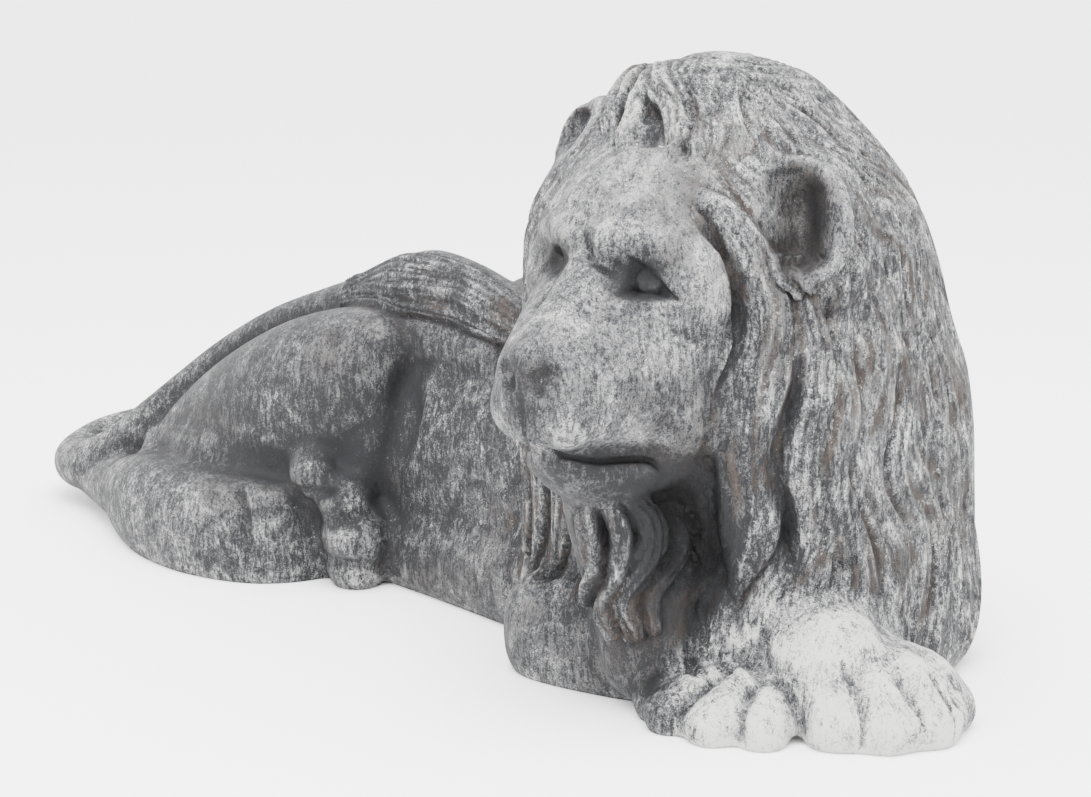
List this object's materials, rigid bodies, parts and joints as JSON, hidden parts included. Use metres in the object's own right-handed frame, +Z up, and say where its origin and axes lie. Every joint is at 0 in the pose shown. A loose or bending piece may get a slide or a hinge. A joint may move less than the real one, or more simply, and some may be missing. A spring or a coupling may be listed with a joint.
{
  "type": "reclining lion statue",
  "caption": "Garden statue of a lion lying with crossed forepaws, head turned to its right and tail laid along its back, cast in lead.",
  "frame": {"origin": "middle of the bounding box, on the ground under the lion", "axes": "+X along the body from tail to chest, -Y the way the head is turned, +Z up"},
  "size_m": [1.3856, 0.6288, 0.6255],
  "materials": {
    "lead": "weathered lead: mottled grey with a pale bloom on the high parts and brown dirt in the grooves"
  },
  "bodies": {
    "root": {"lion": "lead"}
  },
  "joints": []
}
